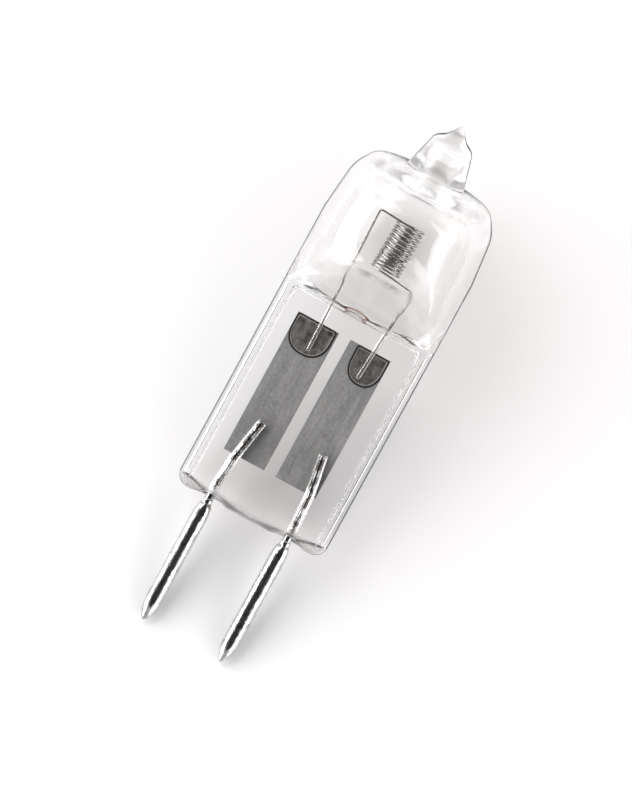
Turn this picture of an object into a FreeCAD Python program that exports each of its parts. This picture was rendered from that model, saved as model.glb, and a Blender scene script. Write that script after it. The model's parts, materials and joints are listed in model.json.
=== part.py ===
"""Halogen capsule bulb with two contact pins, lying as it rests on a flat surface.

Everything is first modelled in the lamp's own axes: the origin on the axis at the foot of the pinch,
+Y along the axis towards the exhaust tip, +X across the pinch and +Z out of its front face.
At the end the whole lamp is laid down: it leans on its shoulder and on the noses of both pins.
"""
import FreeCAD
import Part
import math
import os

Vec = FreeCAD.Vector

# Fused quartz envelope: heights are measured along the axis from the foot of the pinch
tube_radius = 6.0
wall = 1.1
crown_top = 28.3
pinch_half_depth = 1.7
pinch_edge_radius = 0.5
foot_edge_radius = 0.6
foot_corner_radius = 1.0
foot_notch_depth = 0.5
foot_notch_radius = 2.0
foot_lobe_radius = 1.2
foot_lobe_offset = 1.35
foot_corner_share = 0.8
recess_top = 16.75
rim_width = 0.8
recess_depth = 0.35
recess_corner_radius = 0.8

# Corners of the shoulder's profile, where the flat pinch swells into the round tube
shoulder_foot = 17.2
shoulder_foot_bend = 0.95
shoulder_rise = 3.55
shoulder_brow_inset = 0.15
shoulder_brow_bend = 2.2
shoulder_top = 22.0
taper_start = 22.6

# Corners of the dome's outline: inset from the tube's radius, drop below the crown, bend radius
dome_outline = [
    (0.38, 2.0, 3.0),
    (1.38, 0.42, 1.3),
]

# Corners of the exhaust tip's outline, where the lamp was filled and sealed:
# radius, rise above the crown, bend radius
tip_outline = [
    (2.26, -0.18, 0.35),
    (1.5, 2.65, 0.45),
    (0.5, 3.08, 0),
]
tip_end_radius = 0.05
tip_rise = 4.02

# Inner bend where the tube turns into the crown
crown_bend = 1.2

# Corners of the bore sealed into the exhaust tip: radius, rise above the inner crown, bend radius
bore_outline = [
    (1.0, -0.1, 0.35),
    (0.95, 2.93, 0.5),
]

# Cavity where the tube closes into the pinch
cavity_floor = 17.0
cavity_floor_corner_radius = 3.0
cavity_floor_half_depth = 0.3
cavity_foot = 17.45
cavity_foot_bend = 0.6
cavity_rise = 3.857
cavity_brow_inset = 0.091
cavity_brow_bend = 1.1
cavity_top = 22.07
dimple_half_width = 0.93
dimple_half_height = 0.36
dimple_offset = -0.28
dimple_height = 17.08

# Molybdenum foils in the pinch
foil_thickness = 0.05
foil_bottom = 3.71
foil_top = 15.06
left_foil_centre = -2.31
left_foil_width = 3.29
right_foil_centre = 1.89
right_foil_width = 3.25

# Weld tabs: D-shaped plates on the front of each foil's upper end
tab_thickness = 0.05
tab_height = 2.69
tab_straight_side = 1.1
left_tab_centre = -2.37
left_tab_width = 3.17
right_tab_centre = 2.2
right_tab_width = 2.62

# Tungsten filament: one wire, a left-handed coil with a leg at each end
wire_radius = 0.1
wire_facets = 6
coil_mean_radius = 1.02
coil_turns = 12
coil_pitch = 0.349
coil_bottom = 20.16
coil_offset = 0.07
coil_lean_degrees = 1.6
leg_bend_radius = 0.26
leg_knee_radius = 1.0
leg_knee_height = 17.4
left_leg_places = (-2.29, -2.16, -2.05)
right_leg_places = (2.46, 2.3, 2.02)
leg_end = 12.88
leg_weld_bite = 0.015
leg_bore_clearance = 0.07

# Outer leads: from the foil, through the pinch, into the pins
lead_radius = 0.31
lead_top = 6.75
lead_weld_bite = 0.03
lead_bend_radius = 2.0
lead_foil_bend_height = 3.7
lead_foot_bend_height = 1.3
left_lead_top_reach = -2.42
left_lead_bend_reach = -2.97
right_lead_top_reach = 2.53
right_lead_bend_reach = 3.04
lead_bore_clearance = 0.08
lead_in_pin = 6.0

# Contact pins: sleeves swaged on the leads
pin_spacing = 6.35
pin_radius = 0.625
pin_top_gap = 0.05
pin_neck_wall = 0.05
pin_neck_length = 0.35
pin_swage_length = 1.4
pin_swage_bend_radius = 1.5
pin_straight_length = 6.7
pin_nose_length = 1.72
pin_nose_flat_radius = 0.12
pin_bore_clearance = 0.03
pin_bore_end_gap = 0.3

# How long the lamp is turned in ever smaller steps until it rests
settle_steps = 24

# How closely an edge has to lie where it is looked for
share_of_match = 0.001

# Places that follow from the sizes above
inner_radius = tube_radius - wall
recess_half_width = tube_radius - rim_width
inner_crown = crown_top - wall
far_above = crown_top + 2 * tube_radius
foil_face = foil_thickness / 2
tab_face = foil_face + tab_thickness
leg_depth = tab_face + wire_radius - leg_weld_bite
lead_depth = foil_face + lead_radius - lead_weld_bite
pin_neck_radius = lead_radius + pin_neck_wall
pin_top = -pin_top_gap
pin_straight_top = pin_top - pin_neck_length - pin_swage_length
pin_straight_bottom = pin_straight_top - pin_straight_length
pin_bottom = pin_straight_bottom - pin_nose_length
pin_nose_inset = pin_radius - pin_nose_flat_radius
pin_nose_curve = (pin_nose_inset**2 + pin_nose_length**2) / (2 * pin_nose_inset)
axis = Vec(0, 1, 0)
outwards = Vec(1, 0, 0)


def line(start, end):
    return Part.LineSegment(start, end).toShape()


def rounded_path(points, radii):
    """Edges along the points, with an arc at each corner between the ends; radius 0 leaves it sharp."""
    edges = []
    start = points[0]
    for before, corner, after, radius in zip(points, points[1:], points[2:], radii):
        if radius == 0:
            edges.append(line(start, corner))
            start = corner
            continue
        back = (before - corner).normalize()
        ahead = (after - corner).normalize()
        half_turn = (math.pi - back.getAngle(ahead)) / 2
        run = radius * math.tan(half_turn)
        first = corner + back * run
        last = corner + ahead * run
        inwards = (back + ahead).normalize()
        middle = corner + inwards * radius * (1 / math.cos(half_turn) - 1)
        edges.append(line(start, first))
        edges.append(Part.Arc(first, middle, last).toShape())
        start = last
    edges.append(line(start, points[-1]))
    return edges


def revolve_outline(points, radii):
    """Turns an outline in the plane z = 0, closed by the lamp's axis, about that axis."""
    first, last = Vec(0, points[0].y, 0), Vec(0, points[-1].y, 0)
    edges = rounded_path(points, radii) + [line(last, first), line(first, points[0])]
    if points[-1].x > 0:
        edges.insert(-2, line(points[-1], last))
    return Part.Face(Part.Wire(edges)).revolve(Vec(0, 0, 0), axis, 360)


def plate(points, depth, thickness):
    """A flat plate with straight sides, standing on that depth."""
    corners = [Vec(x, y, depth) for x, y in points]
    return Part.Face(Part.makePolygon(corners + corners[:1])).extrude(Vec(0, 0, thickness))


def slab(edges, thickness):
    """A slab of that thickness, its closed outline drawn in a plane through the axis."""
    face = Part.Face(Part.Wire(edges))
    across = face.normalAt(0, 0) * thickness
    face.translate(across * -0.5)
    return face.extrude(across)


def side_profile(floor, floor_radius, half_depth, brow, bends):
    """A slab as wide as the tube, cut to a profile that swells from the pinch to the round tube."""
    foot_height, brow_height, brow_depth, top_height, top_depth = brow
    rise = (top_depth - brow_depth) / (top_height - brow_height)
    far_depth = top_depth + rise * (far_above - top_height)
    half = [
        Vec(0, floor, half_depth),
        Vec(0, foot_height, half_depth),
        Vec(0, brow_height, brow_depth),
        Vec(0, far_above, far_depth),
    ]
    other = [Vec(0, point.y, -point.z) for point in reversed(half)]
    low = Vec(0, floor, 0)
    edges = rounded_path([low] + half, [floor_radius] + bends)
    edges.append(line(half[-1], other[0]))
    edges += rounded_path(other + [low], bends[::-1] + [floor_radius])
    return slab(edges, 4 * tube_radius)


def front_profile(low_corners, radii):
    """A slab as deep as the tube, cut to the lower outline that the lamp has from the front."""
    left, right = Vec(-2 * tube_radius, far_above, 0), Vec(2 * tube_radius, far_above, 0)
    low_left = Vec(low_corners[0].x, far_above, 0)
    low_right = Vec(low_corners[-1].x, far_above, 0)
    edges = rounded_path([low_left] + low_corners + [low_right], radii)
    edges.append(line(low_right, low_left))
    return slab(edges, 4 * tube_radius)


def foot_outline():
    """Corners and bend radii of the pinch's foot: three lobes, with a scallop at each lead."""
    lobe_run = foot_lobe_radius * math.tan(math.atan2(foot_notch_depth, foot_lobe_offset) / 2)
    side_room = tube_radius - pin_spacing / 2 - foot_lobe_offset - lobe_run
    corner_radius = min(foot_corner_radius, side_room * foot_corner_share)
    corners = [Vec(-tube_radius, 0, 0)]
    radii = [corner_radius]
    for reach in (-pin_spacing / 2, pin_spacing / 2):
        corners.append(Vec(reach - foot_lobe_offset, 0, 0))
        corners.append(Vec(reach, foot_notch_depth, 0))
        corners.append(Vec(reach + foot_lobe_offset, 0, 0))
        radii += [foot_lobe_radius, foot_notch_radius, foot_lobe_radius]
    return corners + [Vec(tube_radius, 0, 0)], radii + [corner_radius]


def dome_corners():
    """Start and corners of the dome's outline, from where the tube begins to taper."""
    corners = [Vec(tube_radius - inset, crown_top - drop, 0) for inset, drop, _ in dome_outline]
    return [Vec(tube_radius, taper_start, 0)] + corners


def is_pinch_edge(edge):
    """Tells the four long straight edges where the pinch's flat faces meet its round sides."""
    middle = edge.valueAt((edge.FirstParameter + edge.LastParameter) / 2)
    on_face = math.isclose(abs(middle.z), pinch_half_depth, rel_tol=share_of_match)
    on_side = math.isclose(math.hypot(middle.x, middle.z), tube_radius, rel_tol=share_of_match)
    return on_face and on_side and edge.Length > recess_top / 2


def outside():
    """The tube with its dome and exhaust tip, flattened to the pinch and cut to the pinch's foot."""
    tip = [Vec(radius, crown_top + rise, 0) for radius, rise, _ in tip_outline]
    end = Vec(tip_end_radius, crown_top + tip_rise, 0)
    start = Vec(tube_radius, -foot_corner_radius, 0)
    radii = [0] + [corner[-1] for corner in dome_outline + tip_outline]
    tube = revolve_outline([start] + dome_corners() + tip + [end], radii)
    brow_depth = tube_radius - shoulder_brow_inset
    shoulder_brow = shoulder_foot + shoulder_rise
    brow = (shoulder_foot, shoulder_brow, brow_depth, shoulder_top, tube_radius)
    bends = [shoulder_foot_bend, shoulder_brow_bend]
    flattened = tube.common(side_profile(0, foot_edge_radius, pinch_half_depth, brow, bends))
    pinch_edges = [edge for edge in flattened.Edges if is_pinch_edge(edge)]
    return flattened.makeFillet(pinch_edge_radius, pinch_edges).common(front_profile(*foot_outline()))


def cavity():
    """The hollow: tube and dome one wall in from the outside, closing to a narrow trough."""
    top, haunch, crown = [corner - Vec(wall, 0, 0) for corner in dome_corners()]
    haunch.y -= wall / 2
    crown.y -= wall
    bore = [Vec(radius, inner_crown + rise, 0) for radius, rise, _ in bore_outline]
    end = Vec(0, bore[-1].y, 0)
    start = Vec(inner_radius, cavity_floor, 0)
    radii = [0, 0, crown_bend] + [corner[-1] for corner in bore_outline]
    hollow = revolve_outline([start, top, haunch, crown] + bore + [end], radii)
    cavity_brow = cavity_foot + cavity_rise
    brow = (cavity_foot, cavity_brow, inner_radius - cavity_brow_inset, cavity_top, inner_radius)
    bends = [cavity_foot_bend, cavity_brow_bend]
    floor_radius = cavity_floor_half_depth / 2
    hollow = hollow.common(side_profile(cavity_floor, floor_radius, cavity_floor_half_depth, brow, bends))
    corners = [Vec(-inner_radius, cavity_floor, 0), Vec(inner_radius, cavity_floor, 0)]
    return hollow.common(front_profile(corners, [cavity_floor_corner_radius] * 2))


def cavity_dimple():
    """A small lens-shaped notch in the floor of the cavity."""
    left = Vec(dimple_offset - dimple_half_width, dimple_height, -cavity_floor_half_depth)
    right = left + Vec(2 * dimple_half_width, 0, 0)
    middle = (left + right) / 2
    bow = Vec(0, dimple_half_height, 0)
    upper = Part.Arc(left, middle + bow, right).toShape()
    lower = Part.Arc(right, middle - bow, left).toShape()
    return Part.Face(Part.Wire([upper, lower])).extrude(Vec(0, 0, 2 * cavity_floor_half_depth))


def recess():
    """The sunk field between the rims of the pinch's front face, open at the foot."""
    floor = pinch_half_depth - recess_depth
    corners = [
        Vec(-recess_half_width, -foot_corner_radius, floor),
        Vec(-recess_half_width, recess_top, floor),
        Vec(recess_half_width, recess_top, floor),
        Vec(recess_half_width, -foot_corner_radius, floor),
    ]
    edges = rounded_path(corners, [recess_corner_radius] * 2) + [line(corners[-1], corners[0])]
    return Part.Face(Part.Wire(edges)).extrude(Vec(0, 0, pinch_half_depth))


def sweep(edges, profile):
    """Sweeps a closed profile along a chain of edges."""
    return Part.Wire(edges).makePipeShell([Part.Wire(profile)], True, False)


def round_bar(edges, radius):
    """Sweeps a round wire along a chain of edges."""
    start = edges[0].valueAt(edges[0].FirstParameter)
    direction = edges[0].tangentAt(edges[0].FirstParameter)
    return sweep(edges, [Part.Circle(start, direction, radius).toShape()])


def faceted_bar(edges, radius):
    """Sweeps a wire drawn with flat facets, of the round wire's cross-section, along a chain of edges."""
    start = edges[0].valueAt(edges[0].FirstParameter)
    direction = edges[0].tangentAt(edges[0].FirstParameter)
    circle = Part.Circle(start, direction, radius)
    share = 2 * math.pi / wire_facets
    reach = math.sqrt(share / math.sin(share))
    corners = [start + (circle.value(share * i) - start) * reach for i in range(wire_facets)]
    return sweep(edges, Part.makePolygon(corners + corners[:1]).Edges)


def foil(centre, width):
    left, right = centre - width / 2, centre + width / 2
    outline = [(left, foil_bottom), (right, foil_bottom), (right, foil_top), (left, foil_top)]
    return plate(outline, -foil_face, foil_thickness)


def weld_tab(centre, width):
    """A plate with a flat top and a round lower end."""
    left, right = centre - width / 2, centre + width / 2
    side = foil_top - tab_straight_side
    top_left, top_right = Vec(left, foil_top, foil_face), Vec(right, foil_top, foil_face)
    low_left, low_right = Vec(left, side, foil_face), Vec(right, side, foil_face)
    lowest = Vec(centre, foil_top - tab_height, foil_face)
    bowed = Part.Arc(low_right, lowest, low_left).toShape()
    outline = [line(low_left, top_left), line(top_left, top_right), line(top_right, low_right), bowed]
    return Part.Face(Part.Wire(outline)).extrude(Vec(0, 0, tab_thickness))


def coil_centre_line():
    """The coil as half turns that join smoothly, from the front of its lower end to that of its upper."""
    half_turn_rise = coil_pitch / 2
    reach = math.hypot(coil_mean_radius, half_turn_rise / 2)
    arcs = []
    for i in range(2 * coil_turns):
        side = (-1) ** i
        start = Vec(0, i * half_turn_rise, side * coil_mean_radius)
        middle = Vec(-side * reach, (i + 0.5) * half_turn_rise, 0)
        end = Vec(0, (i + 1) * half_turn_rise, -side * coil_mean_radius)
        arcs.append(Part.Arc(start, middle, end).toShape())
    path = Part.Wire(arcs)
    path.rotate(Vec(0, 0, 0), Vec(0, 0, 1), -coil_lean_degrees)
    path.translate(Vec(coil_offset, coil_bottom, 0))
    return path


def leg(coil_end, direction, reach, knee, foot):
    """Edges of a leg, from the coil's front round a bend and down into the pinch."""
    run = (reach - coil_end.x) / direction.x
    corners = [
        coil_end,
        coil_end + direction * run,
        Vec(knee, leg_knee_height, leg_depth),
        Vec(foot, leg_end, leg_depth),
    ]
    return rounded_path(corners, [leg_bend_radius, leg_knee_radius])


def left_leg():
    end = coil_centre_line().Edges[-1]
    return leg(end.valueAt(end.LastParameter), end.tangentAt(end.LastParameter), *left_leg_places)


def right_leg():
    start = coil_centre_line().Edges[0]
    direction = start.tangentAt(start.FirstParameter) * -1
    return leg(start.valueAt(start.FirstParameter), direction, *right_leg_places)


def filament():
    """The coil and its legs as one wire."""
    wire = faceted_bar(coil_centre_line().Edges, wire_radius)
    return wire.fuse([faceted_bar(left_leg(), wire_radius), faceted_bar(right_leg(), wire_radius)])


def lead_path(side, top_reach, bend_reach, top, bottom):
    """Edges of an outer lead, from that height on the foil down into its pin."""
    straight = side * pin_spacing / 2
    points = [
        Vec(top_reach, top, lead_depth),
        Vec(bend_reach, lead_foil_bend_height, lead_depth),
        Vec(straight, lead_foot_bend_height, 0),
        Vec(straight, bottom, 0),
    ]
    return rounded_path(points, [lead_bend_radius] * 2)


def pin(side):
    """A sleeve with a necked upper end on the lead, a clear bore below and a bullet nose."""
    centre = Vec(pin_radius - pin_nose_curve, pin_straight_bottom, 0)
    half_turn = math.asin(pin_nose_length / pin_nose_curve) / 2
    middle = centre + Vec(math.cos(half_turn), -math.sin(half_turn), 0) * pin_nose_curve
    side_end = Vec(pin_radius, pin_straight_bottom, 0)
    nose_end = Vec(pin_nose_flat_radius, pin_bottom, 0)
    corners = [
        Vec(pin_neck_radius, pin_top, 0),
        Vec(pin_neck_radius, pin_top - pin_neck_length, 0),
        Vec(pin_radius, pin_straight_top, 0),
        side_end,
    ]
    outline = rounded_path(corners, [pin_swage_bend_radius] * 2)
    outline.append(Part.Arc(side_end, middle, nose_end).toShape())
    outline.append(line(nose_end, Vec(0, pin_bottom, 0)))
    outline.append(line(Vec(0, pin_bottom, 0), Vec(0, pin_top, 0)))
    outline.append(line(Vec(0, pin_top, 0), corners[0]))
    body = Part.Face(Part.Wire(outline)).revolve(Vec(0, 0, 0), axis, 360)
    down = Vec(0, -1, 0)
    seat_length = pin_neck_length + pin_swage_length / 2
    seat = Part.makeCylinder(lead_radius, seat_length, Vec(0, pin_top, 0), down)
    bore_length = lead_in_pin + pin_bore_end_gap
    bore_top = Vec(0, pin_top - seat_length, 0)
    bore = Part.makeCylinder(lead_radius + pin_bore_clearance, bore_length - seat_length, bore_top, down)
    sleeve = body.cut(seat).cut(bore)
    sleeve.translate(Vec(side * pin_spacing / 2, 0, 0))
    return sleeve


def behind_foils(shape):
    """Drops what of a bore would reach behind the foils."""
    size = 2 * tube_radius
    back = Part.makeBox(size, foil_top - foil_bottom, size, Vec(-tube_radius, foil_bottom, -size - foil_face))
    return shape.cut(back)


def quartz(inserts, hollows):
    """The envelope, with its cavity and tight slots for the foils and tabs sealed into the pinch."""
    body = outside().cut(cavity()).cut(cavity_dimple())
    front = recess()
    body = body.cut(front).cut(front.mirror(Vec(0, 0, 0), Vec(0, 0, 1)))
    for piece in hollows + inserts:
        body = body.cut(piece)
    return body


def lowest(shape, tilt):
    """The lowest height of a shape once the lamp's tip is raised by that many degrees."""
    turned = shape.copy()
    turned.rotate(Vec(0, 0, 0), outwards, tilt)
    return turned.optimalBoundingBox(False).ZMin


def resting_tilt(envelope, support):
    """The angle in degrees at which the envelope and the pins stand on one plane."""
    low, high = 0, 45
    for _ in range(settle_steps):
        tilt = (low + high) / 2
        if lowest(envelope, tilt) < lowest(support, tilt):
            low = tilt
        else:
            high = tilt
    return tilt


def lay_down(pieces):
    """Turns the pieces into the resting pose, on the plane z = 0 and centred above the origin."""
    tilt = resting_tilt(outside(), pieces["left_pin"])
    for shape in pieces.values():
        shape.rotate(Vec(0, 0, 0), outwards, tilt)
    box = Part.Compound(list(pieces.values())).optimalBoundingBox(False)
    for shape in pieces.values():
        shape.translate(Vec(-box.Center.x, -box.Center.y, -box.ZMin))
    return pieces


def build():
    left_foil = foil(left_foil_centre, left_foil_width)
    right_foil = foil(right_foil_centre, right_foil_width)
    left_tab = weld_tab(left_tab_centre, left_tab_width)
    right_tab = weld_tab(right_tab_centre, right_tab_width)
    wire = filament().cut(left_tab).cut(right_tab)

    lead_bottom = pin_top - lead_in_pin
    hollows = []
    leads = []
    for side, top_reach, bend_reach, plate_piece in (
        (-1, left_lead_top_reach, left_lead_bend_reach, left_foil),
        (1, right_lead_top_reach, right_lead_bend_reach, right_foil),
    ):
        path = lead_path(side, top_reach, bend_reach, lead_top, lead_bottom)
        leads.append(round_bar(path, lead_radius).cut(plate_piece))
        bore = lead_path(side, top_reach, bend_reach, lead_top + lead_bore_clearance, lead_bottom)
        hollows.append(behind_foils(round_bar(bore, lead_radius + lead_bore_clearance)))
    for edges in (left_leg(), right_leg()):
        hollows.append(round_bar(edges, wire_radius + leg_bore_clearance))

    return lay_down(
        {
            "quartz_envelope": quartz([left_foil, right_foil, left_tab, right_tab], hollows),
            "filament": wire,
            "left_foil": left_foil,
            "right_foil": right_foil,
            "left_weld_tab": left_tab,
            "right_weld_tab": right_tab,
            "left_lead": leads[0],
            "right_lead": leads[1],
            "left_pin": pin(-1),
            "right_pin": pin(1),
        }
    )


os.makedirs("parts", exist_ok=True)
for name, shape in build().items():
    shape.exportStep("parts/" + name + ".step")
    print(name, shape.isValid(), len(shape.Solids), round(shape.Volume, 4))
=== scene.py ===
import json
import math
import bpy
import numpy as np
from mathutils import Matrix, Vector


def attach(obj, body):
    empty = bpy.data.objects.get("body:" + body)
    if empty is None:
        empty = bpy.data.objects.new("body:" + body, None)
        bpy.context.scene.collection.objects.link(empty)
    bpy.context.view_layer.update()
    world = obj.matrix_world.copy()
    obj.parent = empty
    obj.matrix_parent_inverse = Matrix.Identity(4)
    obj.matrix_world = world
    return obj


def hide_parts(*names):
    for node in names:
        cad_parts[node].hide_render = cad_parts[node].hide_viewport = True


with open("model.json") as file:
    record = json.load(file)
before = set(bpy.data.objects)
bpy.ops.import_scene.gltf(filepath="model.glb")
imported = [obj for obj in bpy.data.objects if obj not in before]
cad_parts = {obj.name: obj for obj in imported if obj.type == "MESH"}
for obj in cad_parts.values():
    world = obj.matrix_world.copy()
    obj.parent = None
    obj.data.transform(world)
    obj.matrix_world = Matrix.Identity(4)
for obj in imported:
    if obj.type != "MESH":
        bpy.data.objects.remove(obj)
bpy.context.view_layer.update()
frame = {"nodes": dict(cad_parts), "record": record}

scene = bpy.context.scene
print("frame loaded")

# The lamp's own axes: millimetres, origin at the foot of the pinch, Y to the exhaust tip, Z out of the front face
pinMiddle = 5.22  # from the foot of the pinch to the middle of a pin's straight part
pinSpacing = 6.35
pinMounts = [mount for mount in frame["record"]["mounts"] if mount["kind"] == "pin"]
pinAxis = Vector(pinMounts[0]["axis"])
lampTilt = math.atan2(-pinAxis.z, -pinAxis.y)
betweenPins = sum((Vector(mount["pos_m"]) for mount in pinMounts), Vector()) / len(pinMounts)
lampOrigin = betweenPins - pinAxis * pinMiddle / 1000
lampPlace = Matrix.Translation(lampOrigin) @ Matrix.Rotation(lampTilt, 4, "X")


class Wire:  # a socket that can stand in sums
    def __init__(self, tree, socket):
        self.tree, self.socket = tree, socket

    def __add__(self, other):
        return self.tree.maths("ADD", self, other)

    def __radd__(self, other):
        return self.tree.maths("ADD", other, self)

    def __sub__(self, other):
        return self.tree.maths("SUBTRACT", self, other)

    def __rsub__(self, other):
        return self.tree.maths("SUBTRACT", other, self)

    def __mul__(self, other):
        return self.tree.maths("MULTIPLY", self, other)

    def __rmul__(self, other):
        return self.tree.maths("MULTIPLY", other, self)


class Tree:  # a node tree, filled from empty
    def __init__(self, owner):
        owner.use_nodes = True
        self.nodes, self.links = owner.node_tree.nodes, owner.node_tree.links
        self.nodes.clear()

    def node(self, kind, settings=None, inputs=None, output=0):
        made = self.nodes.new("ShaderNode" + kind)
        for name, value in (settings or {}).items():
            setattr(made, name, value)
        for name, value in (inputs or {}).items():
            if isinstance(value, Wire):
                self.links.new(value.socket, made.inputs[name])
            else:
                made.inputs[name].default_value = value
        return Wire(self, made.outputs[output]) if made.outputs else None

    def maths(self, operation, first, second=0.0):
        return self.node("Math", {"operation": operation}, {0: first, 1: second})

    def blend(self, factor, first, second):  # of two colours
        return self.node("Mix", {"data_type": "RGBA"}, {"Factor": factor, 6: first, 7: second}, 2)

    def mixed(self, factor, first, second):  # of two shaders
        return self.node("MixShader", None, {0: factor, 1: first, 2: second})

    def ease(self, value, low, high):  # 0 at low, 1 at high
        limits = {"Value": value, "From Min": low, "From Max": high}
        return self.node("MapRange", {"interpolation_type": "SMOOTHSTEP"}, limits)

    def noise(self, where, scale, detail=3.0, rough=0.55):
        return self.node("TexNoise", None, {"Vector": where, "Scale": scale, "Detail": detail, "Roughness": rough})

    def streaks(self, where, across, along, detail=3.0, rough=0.55):  # noise drawn out along the lamp
        drawn = self.node("Mapping", None, {"Vector": where, "Scale": (across, along, across)})
        return self.noise(drawn, 1.0, detail, rough)

    def ray(self, kind):
        return self.node("LightPath", None, None, kind)

    def mark(self):  # the number that addPiece keeps at each point
        return self.node("Attribute", {"attribute_name": "mark"}, None, "Fac")

    def translucent(self, surface, tint):  # lets tinted light through to what lies in its shadow
        return self.mixed(self.ray("Is Shadow Ray"), surface, self.node("BsdfTransparent", None, {"Color": tint}))

    def bump(self, height, strength, distance):
        return self.node("Bump", None, {"Height": height, "Strength": strength, "Distance": distance})


def material(name, build, alongLamp=True):  # its coordinates run along the lamp's own axes, in metres
    made = bpy.data.materials.new(name)
    tree = Tree(made)
    where = tree.node("TexCoord", None, None, 3)
    if alongLamp:
        asLaid = {"Vector": where, "Location": lampOrigin, "Rotation": (lampTilt, 0, 0)}
        where = tree.node("Mapping", {"vector_type": "TEXTURE"}, asLaid)
    tree.node("OutputMaterial", None, {"Surface": build(tree, where)})
    return made


def tone(value, warmth=0.0):  # a grey, with more red and less blue in it
    return (value * (1 + warmth), value, value * (1 - warmth), 1.0)


# Camera, straight above: the lamp's axis stands clockwise from upright in the picture
view = {"turn": 28.75, "lens": 300.0, "sensor": 36.0, "height": 56.5, "level": 4.0, "aim": (0.01, -0.80), "bounces": 24}

camera = bpy.data.objects.new("camera", bpy.data.cameras.new("camera"))
scene.collection.objects.link(camera)
camera.data.lens = view["lens"]
distance = view["lens"] / view["sensor"] * view["height"] + view["level"]
camera.location = Vector((*view["aim"], distance)) / 1000
camera.rotation_euler = (0, 0, math.radians(view["turn"]))
camera.data.clip_start = 0.01
scene.camera = camera
scene.cycles.max_bounces = scene.cycles.transmission_bounces = view["bounces"]
scene.cycles.glossy_bounces = scene.cycles.transparent_max_bounces = view["bounces"]
scene.cycles.caustics_reflective = scene.cycles.caustics_refractive = False


# a mesh from points in the lamp's own axes, with a mark of its own at each point if marks are given
def addPiece(name, points, faces, finish, smooth=True, marks=None):
    mesh = bpy.data.meshes.new(name)
    mesh.from_pydata((np.asarray(points) / 1000).tolist(), [], faces)
    mesh.transform(lampPlace)
    mesh.materials.append(finish)
    mesh.shade_smooth() if smooth else mesh.shade_flat()
    if marks is not None:
        mesh.attributes.new("mark", "FLOAT", "POINT").data.foreach_set("value", marks)
    piece = bpy.data.objects.new(name, mesh)
    scene.collection.objects.link(piece)
    return piece


# points along the corners, each one turned on an arc, or sharp where its radius is 0
def roundedPath(corners, radii, step=6.0):
    corners = [np.array(corner, float) for corner in corners]
    points = [corners[0]]
    for before, corner, after, radius in zip(corners, corners[1:], corners[2:], radii):
        if radius == 0:
            points.append(corner)
            continue
        back, ahead = before - corner, after - corner
        back, ahead = back / np.linalg.norm(back), ahead / np.linalg.norm(ahead)
        half = (math.pi - math.acos(np.clip(back @ ahead, -1, 1))) / 2
        centre = corner + (back + ahead) / np.linalg.norm(back + ahead) * radius / math.cos(half)
        first = corner + back * radius * math.tan(half) - centre
        steps = max(2, int(math.degrees(2 * half) / step) + 1)
        for turn in np.linspace(0, 2 * half, steps + 1):
            points.append(centre + first * math.cos(turn) - back * radius * math.sin(turn))
    return np.array(points + [corners[-1]])


# the same line in even steps
def spaced(points, gap):
    reach = np.concatenate([[0], np.cumsum(np.linalg.norm(np.diff(points, axis=0), axis=1))])
    marks = np.linspace(0, reach[-1], max(2, int(reach[-1] / gap) + 1))
    return np.stack([np.interp(marks, reach, points[:, i]) for i in range(points.shape[1])], 1)


# one closed skin from rings of equal count, drawn together at both ends; side is -1 for a hollow's skin
def skin(rings, side=1):
    count, sides = len(rings), len(rings[0])
    points = np.concatenate([*rings, [np.mean(rings[0], 0)], [np.mean(rings[-1], 0)]])
    low = np.arange((count - 1) * sides).reshape(count - 1, sides)
    after = np.roll(low, -1, axis=1)
    quads = np.stack([low, after, after + sides, low + sides], -1).reshape(-1, 4)
    foot, head = count * sides, count * sides + 1
    first, last = np.arange(sides), np.arange((count - 1) * sides, count * sides)
    fans = [(b, a, foot) for a, b in zip(first, np.roll(first, -1))]
    fans += [(a, b, head) for a, b in zip(last, np.roll(last, -1))]
    faces = [tuple(map(int, face)) for face in quads] + [tuple(map(int, face)) for face in fans]
    a, b, c = (points[quads[:, i]] for i in (0, 1, 2))
    volume = np.einsum("ij,ij->", a, np.cross(b, c))
    if volume * side < 0:
        faces = [face[::-1] for face in faces]
    return points, faces


# several skins as one mesh
def joined(*parts):
    points, faces, start = [], [], 0
    for partPoints, partFaces in parts:
        points.append(partPoints)
        faces += [tuple(i + start for i in face) for face in partFaces]
        start += len(partPoints)
    return np.concatenate(points), faces


# rings of a round wire along a line
def wireRings(line, radius, sides):
    ahead = np.gradient(line, axis=0)
    ahead /= np.linalg.norm(ahead, axis=1)[:, None]
    turns = np.arange(sides) * 2 * math.pi / sides
    side, rings = np.cross(ahead[0], (0, 0, 1.0)), []
    for point, tangent in zip(line, ahead):
        side = side - tangent * (side @ tangent)
        side /= np.linalg.norm(side)
        circle = np.outer(np.cos(turns), side) + np.outer(np.sin(turns), np.cross(tangent, side))
        rings.append(point + radius * circle)
    return rings


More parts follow.
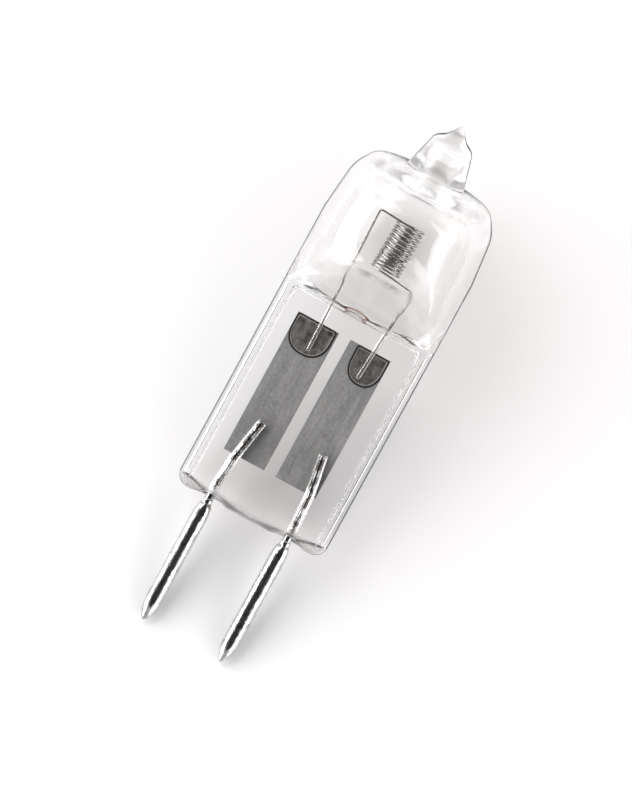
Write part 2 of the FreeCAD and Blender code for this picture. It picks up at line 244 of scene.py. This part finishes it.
# Fused quartz, in millimetres; profiles are height and half depth, the dome and the bell reach and height
quartz = {
    "radius": 6.0, "wall": 1.1, "pinchHalf": 1.7, "footEdge": 0.6, "footFade": 4.0,
    "footLine": [
        (-6, 5), (-6, 0), (-4.525, 0), (-3.175, 0.5), (-1.825, 0),
        (1.825, 0), (3.175, 0.5), (4.525, 0), (6, 0), (6, 5),
    ],
    "footBends": [1.0, 1.2, 2.0, 1.2, 1.2, 2.0, 1.2, 1.0],
    "shoulderFrom": 16.74, "shoulder": [(0.6, 1.7), (17.2, 1.7), (20.8, 6.0), (24, 6.0)], "shoulderBends": [0.97, 3.0],
    "dome": [
        (6, 22.25), (6, 22.6), (5.62, 26.3), (4.62, 27.88), (2.26, 28.12),
        (1.52, 30.92), (0.8, 31.34), (0.42, 31.8), (0.18, 32.16), (0.04, 32.24),
    ],
    "domeBends": [0, 3.0, 1.3, 0.35, 0.8, 0.8, 1.0, 0.06],
    "edges": ((1.7, 3.4, 6), (0.5, 3.4, 6)),  # half depths and the edge radii that go with them
    "recessTop": 16.75, "recessReach": 5.2, "recessDepth": 0.35, "recessCorner": 0.8,
    "recessSlope": (0.05, 0.16),  # how far outside the sunk field its slope starts, and how wide it is
    "floor": 17.0, "floorHalf": 0.3, "floorFade": 2.0,
    "floorLine": [(-4.9, 21), (-4.9, 17), (4.9, 17), (4.9, 21)], "floorBend": 0.8,
    "throat": [(17.0, 0.3), (17.46, 0.3), (21.31, 4.9), (24, 4.9)], "throatBends": [0.9, 1.9],
    "bell": [(4.9, 22.25), (4.9, 22.6), (4.55, 25.75), (3.5, 26.8), (0.92, 27.1), (0.88, 30.1), (0.02, 30.2)],
    "bellBends": [0, 2.5, 1.5, 0.4, 0.8],
    "eyeMiddle": (-0.28, 17.08), "eyeHalf": (0.93, 0.36), "eyeDepth": 0.24, "eyeDrop": 0.1, "eyeTrim": 0.06,
    "legBore": 0.17, "legBoreBelow": 0.1, "legBoreGap": 0.05,
    "leadBore": 0.39, "leadBoreAbove": 0.08, "leadBoreFoot": 0.62,
    "frost": [(0.16, 26.2, 27.2), (0.06, 27.9, 28.4), (0.3, 30.3, 31.0), (0.5, 1.6, 0.6)],  # roughness, none and full at
    "browFrost": (0.13, (19.4, 19.9), (21.1, 20.7)),
    "paintedRim": (0.77, 0.9),  # how far a surface is turned away where its painted dark edge (painted shade) starts and is full
    "paintedRimShifts": [(0.09, 28.6, 29.2), (0.09, 30.6, 31.2)], "paintedRimCrownShift": (-0.07, (26.5, 28.0), (29.5, 28.5)),
    "shadowTint": (0.875, 0.856, 0.848, 1),
}


# outline of one cross-section: a circle cut flat front and back, its corners rounded; shares run from side to front
def crossSection(radius, half, edge, shares):
    half = min(half, radius)
    edge = max(min(edge, half), 1e-5)
    cornerX = math.sqrt(max((radius - edge) ** 2 - (half - edge) ** 2, 0))
    turn = math.atan2(half - edge, cornerX)
    arc, bend = radius * turn, edge * (math.pi / 2 - turn)
    marks = shares * (arc + bend + cornerX)
    bow = turn + (marks - arc) / edge
    places = [marks < arc, marks < arc + bend]  # on the round side, on the corner, or on the flat
    x = np.select(places, [radius * np.cos(marks / radius), cornerX + edge * np.cos(bow)], arc + bend + cornerX - marks)
    z = np.select(places, [radius * np.sin(marks / radius), half - edge + edge * np.sin(bow)], half)
    x, z = np.maximum(x, 0), np.maximum(z, 0)
    across = np.concatenate([x[:-1], -x[:0:-1], -x[:-1], x[:0:-1]])
    return across, np.concatenate([z[:-1], z[:0:-1], -z[:-1], -z[:0:-1]])


# shares of a quarter outline, closer together around the pinch's edges
def quarterShares(count, crowd=2.0):
    fine = np.linspace(0, 1, 400)
    pace = 1 + crowd * np.exp(-(((fine - 0.27) / 0.1) ** 2))
    reach = np.concatenate([[0], np.cumsum((pace[1:] + pace[:-1]) / 2)])
    return np.interp(np.linspace(0, reach[-1], count + 1), reach, fine)


def alongX(line, bends, below):  # a lower outline, as far as it lies below a height, as heights over x
    path = roundedPath(line, bends, 3.0)
    path = path[path[:, 1] < below]
    return lambda x: np.interp(x, path[:, 0], path[:, 1])


def recessed(x, y, z):  # the sunk fields on the pinch's faces
    corner = quartz["recessCorner"]
    inX, inY = quartz["recessReach"] - np.abs(x), quartz["recessTop"] - y
    rounded = (inX < corner) & (inY < corner)
    deep = np.where(rounded, corner - np.hypot(corner - inX, corner - inY), np.minimum(inX, inY))
    start, run = quartz["recessSlope"]
    share = np.clip((deep + start) / run, 0, 1)
    share = share * share * (3 - 2 * share)
    proud = np.maximum(np.abs(z) - (quartz["pinchHalf"] - quartz["recessDepth"]), 0)
    return z - np.sign(z) * proud * share


def outerRings(shares):
    radius, top, footEdge = quartz["radius"], quartz["pinchHalf"], quartz["footEdge"]
    turns = np.radians(np.arange(0, 90, 6))
    stations = [(footEdge * (1 - math.cos(turn)), top * math.sin(turn)) for turn in turns]
    heights = [np.arange(0.6, 2, 0.15), np.arange(2, 16.4, 0.35), np.arange(16.45, quartz["shoulderFrom"], 0.03)]
    stations += [(height, top) for height in np.concatenate(heights)]
    side = spaced(roundedPath(quartz["shoulder"], quartz["shoulderBends"], 3.0), 0.11)
    stations += [tuple(point) for point in side if point[0] > quartz["shoulderFrom"] and point[1] < radius - 0.0005]
    footHeight = alongX(quartz["footLine"], quartz["footBends"], 1.01)
    rings = []
    for height, half in stations:
        x, z = crossSection(radius, half, np.interp(half, *quartz["edges"]), shares)
        y = height + footHeight(x) * max(0, 1 - height / quartz["footFade"])
        rings.append(np.stack([x, y, recessed(x, y, z)], 1))
    for reach, height in spaced(roundedPath(quartz["dome"], quartz["domeBends"], 3.0), 0.11):
        x, z = crossSection(reach, reach, 0.01, shares)
        rings.append(np.stack([x, np.full_like(x, height), z], 1))
    return rings


def hollowRings(shares):
    inner, floor = quartz["radius"] - quartz["wall"], quartz["floor"]
    floorHeight = alongX(quartz["floorLine"], [quartz["floorBend"]] * 2, floor + quartz["floorBend"] + 0.01)
    stations = [(floor, quartz["floorHalf"] * share) for share in (0, 0.5, 0.85, 1)]
    side = spaced(roundedPath(quartz["throat"], quartz["throatBends"], 3.0), 0.1)
    stations += [tuple(point) for point in side if point[0] > floor and point[1] < inner - 0.0005]
    rings = []
    for height, half in stations:
        x, z = crossSection(inner, half, half, shares)
        y = height + (floorHeight(x) - floor) * max(0, 1 - (height - floor) / quartz["floorFade"])
        rings.append(np.stack([x, y, z], 1))
    for reach, height in spaced(roundedPath(quartz["bell"], quartz["bellBends"], 3.0), 0.08):
        x, z = crossSection(reach, reach, 0.01, shares)
        rings.append(np.stack([x, np.full_like(x, height), z], 1))
    return rings


def eyeRings():  # the small lens-shaped pocket below the cavity's floor
    (eyeX, eyeY), (eyeWide, eyeHigh) = quartz["eyeMiddle"], quartz["eyeHalf"]
    turns, rings = np.arange(64) * math.pi / 32, []
    for side in np.linspace(-1, 1, 15):
        reach = math.sqrt(max(1 - side ** 2, 0)) ** 0.7 + 0.02
        x = eyeX + eyeWide * reach * np.cos(turns)
        bow = np.sin(turns) * np.abs(np.sin(turns)) ** 0.3
        y = eyeY - quartz["eyeDrop"] + (eyeHigh - quartz["eyeTrim"]) * reach * bow
        rings.append(np.stack([x, y, np.full_like(x, side * quartz["eyeDepth"])], 1))
    return rings


# Filament: the coil with a leg at each end, one wire
coil = {
    "wire": 0.1, "reach": 1.02, "turns": 12, "pitch": 0.349, "foot": (0.07, 20.16, 0), "lean": 1.6,
    "bend": 0.26, "kneeBend": 1.0, "knee": 17.4, "end": 12.88, "depth": 0.16,
    "leftLeg": (-2.29, -2.16, -2.05), "rightLeg": (2.46, 2.3, 2.02),  # reach beside the coil, at the knee, at the end
}


def coilLine():
    turns = np.linspace(0, coil["turns"] * 2 * math.pi, coil["turns"] * 40 + 1)
    rise = coil["pitch"] * turns / (2 * math.pi)
    line = np.stack([-coil["reach"] * np.sin(turns), rise, coil["reach"] * np.cos(turns)], 1)
    lean = np.array(Matrix.Rotation(math.radians(-coil["lean"]), 3, "Z"))
    return line @ lean.T + coil["foot"]


def legLine(coilEnd, direction, places):
    reach, knee, foot = places
    turn = coilEnd + direction * (reach - coilEnd[0]) / direction[0]
    corners = [coilEnd, turn, (knee, coil["knee"], coil["depth"]), (foot, coil["end"], coil["depth"])]
    return roundedPath(corners, [coil["bend"], coil["kneeBend"]], 10.0)


turnsLine = coilLine()
leftLeg = legLine(turnsLine[-1], turnsLine[-1] - turnsLine[-2], coil["leftLeg"])
rightLeg = legLine(turnsLine[0], turnsLine[0] - turnsLine[1], coil["rightLeg"])
filamentLine = np.concatenate([rightLeg[::-1], turnsLine[1:-1], leftLeg])

# Middle lines of the outer leads, for the gaps round them in the pinch
lead = {
    "top": 6.75, "depth": 0.305, "bend": 2.0, "foilBend": 3.7, "footBend": 1.3,
    "left": (-2.42, -2.97), "right": (2.53, 3.04),  # reach at the top and at the bend below the foil
}


def leadLine(side, reaches, top, bottom):
    straight, depth = side * pinSpacing / 2, lead["depth"]
    corners = [(reaches[0], top, depth), (reaches[1], lead["foilBend"], depth)]
    corners += [(straight, lead["footBend"], 0), (straight, bottom, 0)]
    return roundedPath(corners, [lead["bend"]] * 2, 3.0)


def bore(line, radius, low=-math.inf, high=math.inf):  # the thin gap round a wire in the pinch
    line = spaced(line, 0.2)
    return skin(wireRings(line[(line[:, 1] > low) & (line[:, 1] < high)], radius, 24), -1)


def quartzMaterial(tree, where):
    fine = tree.noise(where, 900.0, 2.0)
    drawn = tree.streaks(where, 260.0, 40.0, 2.0)
    height = tree.node("SeparateXYZ", None, {"Vector": where}, 1) * 1000
    outside = tree.mark()

    (eyeX, eyeY), (eyeWide, eyeHigh) = quartz["eyeMiddle"], quartz["eyeHalf"]
    offset, scale = (-eyeX / eyeWide, -eyeY / eyeHigh, 0), (1000 / eyeWide, 1000 / eyeHigh, 0)
    inEye = tree.node("Mapping", None, {"Vector": where, "Location": offset, "Scale": scale})
    fromEye = tree.node("VectorMath", {"operation": "LENGTH"}, {0: inEye}, "Value")
    scorch = tree.ease(fromEye, 0.72, 0.95) * tree.ease(fromEye, 1.3, 1.05) * (1 - outside)
    colour = tree.blend(fine, (0.985, 0.98, 0.98, 1), (0.96, 0.955, 0.952, 1))
    colour = tree.blend(scorch, colour, (0.3, 0.13, 0.09, 1))

    frost = 0.008 * fine
    for amount, low, high in quartz["frost"]:
        frost = frost + amount * tree.ease(height, low, high)
    amount, rise, fall = quartz["browFrost"]
    frost = frost + amount * tree.ease(height, *rise) * tree.ease(height, *fall)
    glass = tree.node("BsdfPrincipled", None, {
        "Base Color": colour, "Roughness": frost, "IOR": 1.458, "Transmission Weight": 1.0,
        "Normal": tree.bump(drawn, 0.06, 0.0004),
    })

    # painted shade: a thin dark line painted along the outline, where the outer surface turns away from the camera
    paintedRim = tree.node("BsdfPrincipled", None, {"Base Color": tone(0.12), "Roughness": 0.6, "Specular IOR Level": 0.0})
    amount, rise, fall = quartz["paintedRimCrownShift"]
    turned = tree.node("LayerWeight", None, {"Blend": 0.5}, "Facing")
    turned = turned + amount * tree.ease(height, *rise) * tree.ease(height, *fall)
    for amount, low, high in quartz["paintedRimShifts"]:
        turned = turned + amount * tree.ease(height, low, high)
    # painted shade: the dark BSDF is mixed in on the outer skin only, by how far it turns away
    withPaintedRim = tree.mixed(outside * tree.ease(turned, *quartz["paintedRim"]), glass, paintedRim)
    return tree.translucent(withPaintedRim, quartz["shadowTint"])


def tungstenMaterial(tree, where):
    grain = tree.noise(where, 9000.0, 2.0)
    metal = tree.node("BsdfPrincipled", None, {
        "Base Color": tree.blend(grain, tone(0.26, 0.05), tone(0.42, 0.03)),
        "Metallic": 1.0, "Roughness": 0.08 + 0.12 * grain, "Normal": tree.bump(grain, 0.25, 0.00002),
    })
    return tree.translucent(metal, tone(0.8))


shell = skin(outerRings(quarterShares(62)))
legHole = quartz["legBore"], coil["end"] - quartz["legBoreBelow"], quartz["floor"] - quartz["legBoreGap"]
leadEnds = lead["top"] + quartz["leadBoreAbove"], quartz["leadBoreFoot"]
envelope = joined(
    shell,
    skin(hollowRings(quarterShares(40, 0.6)), -1),
    skin(eyeRings(), -1),
    bore(leftLeg, *legHole),
    bore(rightLeg, *legHole),
    bore(leadLine(-1, lead["left"], *leadEnds), quartz["leadBore"]),
    bore(leadLine(1, lead["right"], *leadEnds), quartz["leadBore"]),
)
onOutside = (np.arange(len(envelope[0])) < len(shell[0])).astype(float)
envelopeGlass = addPiece("envelopeGlass", *envelope, material("clearQuartz", quartzMaterial), marks=onOutside)
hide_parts("quartz_envelope")
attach(envelopeGlass, "root")
print("envelope done", len(envelopeGlass.data.polygons))

turns = skin(wireRings(filamentLine, coil["wire"], 12))
filamentWire = addPiece("filamentWire", *turns, material("tungsten", tungstenMaterial))
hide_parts("filament")
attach(filamentWire, "root")
print("filament done")


# Foils and leads keep the CAD solids; tabs and pins are drawn here
def foilMaterial(tree, where):
    speck = tree.noise(where, 5200.0, 5.0, 0.75)
    drawn = tree.streaks(where, 1500.0, 120.0, 4.0)
    crease = tree.streaks(where, 1000.0, 60.0, 1.0)
    colour = tree.blend(tree.ease(speck * 0.6 + drawn * 0.4, 0.3, 0.7), tone(0.29), tone(0.54))
    # painted shade: the colour darkens along the crease lines
    paintedCreaseShade = tree.ease(tree.maths("ABSOLUTE", crease - 0.5, 0), 0.02, 0.004)
    colour = tree.blend(0.16 * paintedCreaseShade, colour, tone(0.1))
    return tree.node("BsdfPrincipled", None, {
        "Base Color": colour, "Metallic": 0.35, "Roughness": 0.5 + 0.2 * speck,
        "Normal": tree.bump(speck * 0.4 + crease * 0.6, 0.8, 0.00006),
    })


def tabMaterial(tree, where):
    speck = tree.noise(where, 2600.0, 5.0, 0.7)
    wrinkle = tree.streaks(where, 1800.0, 700.0, 4.0, 0.7)
    colour = tree.blend(tree.ease(speck * 0.5 + wrinkle * 0.5, 0.36, 0.64), tone(0.06, 0.12), tone(0.26, 0.05))
    mark = tree.mark()
    # painted shade: near black along the tab's edge; painted highlight: a light grey line inside it
    colour = tree.blend(tree.ease(mark, 0.1, 0.6), colour, tone(0.008))
    colour = tree.blend(tree.ease(0 - mark, 0.3, 0.9), colour, tone(0.5))
    return tree.node("BsdfPrincipled", None, {
        "Base Color": colour, "Metallic": 0.3, "Roughness": 0.45 + 0.3 * speck,
        "Normal": tree.bump(wrinkle, 0.8, 0.0001),
    })


tab = {
    "low": 0.025, "high": 0.075, "sunk": 0.055, "top": 15.06, "height": 2.69, "side": 1.1, "corner": 0.22,
    "left": (-2.37, 3.17), "right": (2.2, 2.62),  # middle and width
    "rings": [  # distance from the edge, level, and 1 for the painted dark edge (painted shade) or -1 for the painted highlight line
        (0.0, "low", 1), (0.0, "high", 1), (0.1, "high", 1), (0.13, "high", 0),
        (0.17, "high", -1), (0.23, "sunk", 0), (0.6, "sunk", 0),
    ],
}


def tabPlate(centre, width):  # flat top, round lower end, marked for painted shade along its edge and a painted highlight line inside it
    half, low, side = width / 2, tab["top"] - tab["height"], tab["top"] - tab["side"]
    rise = side - low
    turns = np.radians(np.arange(0, 91, 6))
    bow = [(centre + half * math.sin(turn) ** 0.85, low + rise * (1 - math.cos(turn) ** 0.95)) for turn in turns]
    corners = [bow[-1] + (0,), (centre + half, tab["top"], 0), (centre, tab["top"], 0)]
    corner = roundedPath(corners, [tab["corner"]], 15.0)[:, :2]
    right = spaced(np.array(bow[:-1] + [tuple(point) for point in corner]), 0.06)
    left = np.stack([2 * centre - right[::-1, 0], right[::-1, 1]], 1)[1:-1]
    outline = np.concatenate([right, left])
    ahead = np.roll(outline, -1, 0) - np.roll(outline, 1, 0)
    inwards = np.stack([-ahead[:, 1], ahead[:, 0]], 1) / np.linalg.norm(ahead, axis=1)[:, None]
    rings, marks = [], []
    for inset, level, mark in tab["rings"]:
        ring = outline + inwards * inset
        rings.append(np.concatenate([ring, np.full((len(ring), 1), tab[level])], 1))
        marks += [mark] * len(ring)
    return skin(rings), np.array(marks + [1, 0], float)  # skin adds a point in the middle of each end


finish = material("weldedTab", tabMaterial)
for side in ("left", "right"):
    plate, marks = tabPlate(*tab[side])
    weldTab = addPiece(side + "WeldTab", *plate, finish, smooth=False, marks=marks)
    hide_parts(side + "_weld_tab")
    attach(weldTab, "root")


def leadMaterial(tree, where):
    blotch = tree.noise(where, 1500.0, 4.0, 0.6)
    colour = tree.blend(tree.ease(blotch, 0.44, 0.56), tone(0.58), tone(0.1, 0.08))
    return tree.node("BsdfPrincipled", None, {
        "Base Color": colour, "Metallic": 1.0, "Roughness": 0.07 + 0.1 * blotch,
        "Normal": tree.bump(blotch, 0.45, 0.0001),
    })


def pinMaterial(tree, where):
    fine = tree.streaks(where, 6000.0, 900.0, 3.0)
    wave = tree.streaks(where, 1500.0, 900.0, 4.0, 0.6)
    stain = tree.ease(tree.noise(where, 1500.0, 6.0, 0.7), 0.48, 0.68)
    colour = tree.blend(stain, tone(0.72), (0.4, 0.36, 0.345, 1))
    return tree.node("BsdfPrincipled", None, {
        "Base Color": colour, "Metallic": 1.0, "Roughness": 0.07 + 0.08 * fine,
        "Normal": tree.bump(wave * 0.8 + fine * 0.2, 0.6, 0.00012),
    })


pin = {
    "radius": 0.625, "noseLength": 1.72, "noseEnd": 0.12,
    # height and radius, from the swaged neck to the end of the straight part
    "outline": [(-0.05, 0.3), (-0.05, 0.36), (-0.42, 0.37), (-0.62, 0.5), (-1.3, 0.625), (-8.5, 0.625)],
    "bends": [0.04, 0.3, 0.3, 1.6],
}
drop, along = pin["radius"] - pin["noseEnd"], pin["noseLength"] * np.linspace(0, 1, 16)[1:]
noseCurve = (drop ** 2 + pin["noseLength"] ** 2) / (2 * drop)
nose = np.stack([pin["outline"][-1][0] - along, pin["radius"] - noseCurve + np.sqrt(noseCurve ** 2 - along ** 2)], 1)
pinOutline = np.concatenate([spaced(roundedPath(pin["outline"], pin["bends"], 6.0), 0.12), nose])
turns = np.arange(64) * math.pi / 32
finish = material("platedPin", pinMaterial)
for name, side in (("left", -1), ("right", 1)):
    rings = []
    for height, size in pinOutline:
        across = side * pinSpacing / 2 + size * np.cos(turns)
        rings.append(np.stack([across, np.full_like(across, height), size * np.sin(turns)], 1))
    sleeve = addPiece(name + "Sleeve", *skin(rings), finish)
    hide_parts(name + "_pin")
    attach(sleeve, "root")


# the kept solids take their looks here
for nodes, finish in (
    (("left_foil", "right_foil"), material("molybdenumFoil", foilMaterial, False)),
    (("left_lead", "right_lead"), material("molybdenumWire", leadMaterial, False)),
):
    for name in nodes:
        slots = frame["nodes"][name].data.materials
        slots.clear()
        slots.append(finish)
print("metal parts done")


# Floor and light
def floorMaterial(tree, where):  # looks a little brighter than the light it throws back onto the lamp
    paper = {"Base Color": (0.9, 0.885, 0.885, 1), "Roughness": 1.0, "Specular IOR Level": 0.0}
    matt = tree.node("BsdfPrincipled", None, paper)
    bright = tree.node("BsdfPrincipled", None, {**paper, "Emission Color": (1, 1, 1, 1), "Emission Strength": 0.26})
    seen = tree.ray("Is Camera Ray") + tree.ray("Is Glossy Ray") + tree.ray("Is Transmission Ray")
    return tree.mixed(seen, matt, bright)


floor = bpy.data.objects.new("floor", bpy.data.meshes.new("floor"))
floor.data.from_pydata([(-0.2, -0.2, 0), (0.2, -0.2, 0), (0.2, 0.2, 0), (-0.2, 0.2, 0)], [], [(0, 1, 2, 3)])
floor.data.materials.append(material("whitePaper", floorMaterial, False))
scene.collection.objects.link(floor)

studio = {
    "overhead": 0.045, "around": 0.6, "edgeLow": 0.62, "edgeHigh": 0.76,
    "boxes": [  # direction from the lamp in degrees, elevation, distance, width, height, brightness
        ("softboxLeft", 200, 13, 0.5, 0.9, 0.23, 6.2),
        ("softboxRight", -8, 19, 0.5, 0.9, 0.34, 1.7),
        ("softboxFar", 150, 40, 0.5, 0.34, 0.3, 3.6),
    ],
}

scene.world = bpy.data.worlds.new("studio")
sky = Tree(scene.world)
direction = sky.node("SeparateXYZ", None, {"Vector": sky.node("TexCoord", None, None, 0)}, 2)
lift = sky.ease(direction, studio["edgeLow"], studio["edgeHigh"])
around = sky.blend(lift, tone(studio["around"]), tone(studio["overhead"]))
sky.node("OutputWorld", None, {"Surface": sky.node("Background", None, {"Color": around, "Strength": 1.0})})

for name, heading, elevation, distance, width, height, brightness in studio["boxes"]:
    light = bpy.data.lights.new(name, "AREA")
    light.shape, light.size, light.size_y = "RECTANGLE", width, height
    light.energy = brightness * math.pi * width * height
    box = bpy.data.objects.new(name, light)
    heading, elevation = math.radians(heading), math.radians(elevation)
    level = math.cos(elevation)
    box.location = distance * Vector((level * math.cos(heading), level * math.sin(heading), math.sin(elevation)))
    box.rotation_euler = (-box.location).to_track_quat("-Z", "Y").to_euler()
    scene.collection.objects.link(box)

scene.view_settings.view_transform = "Standard"
print("studio done")
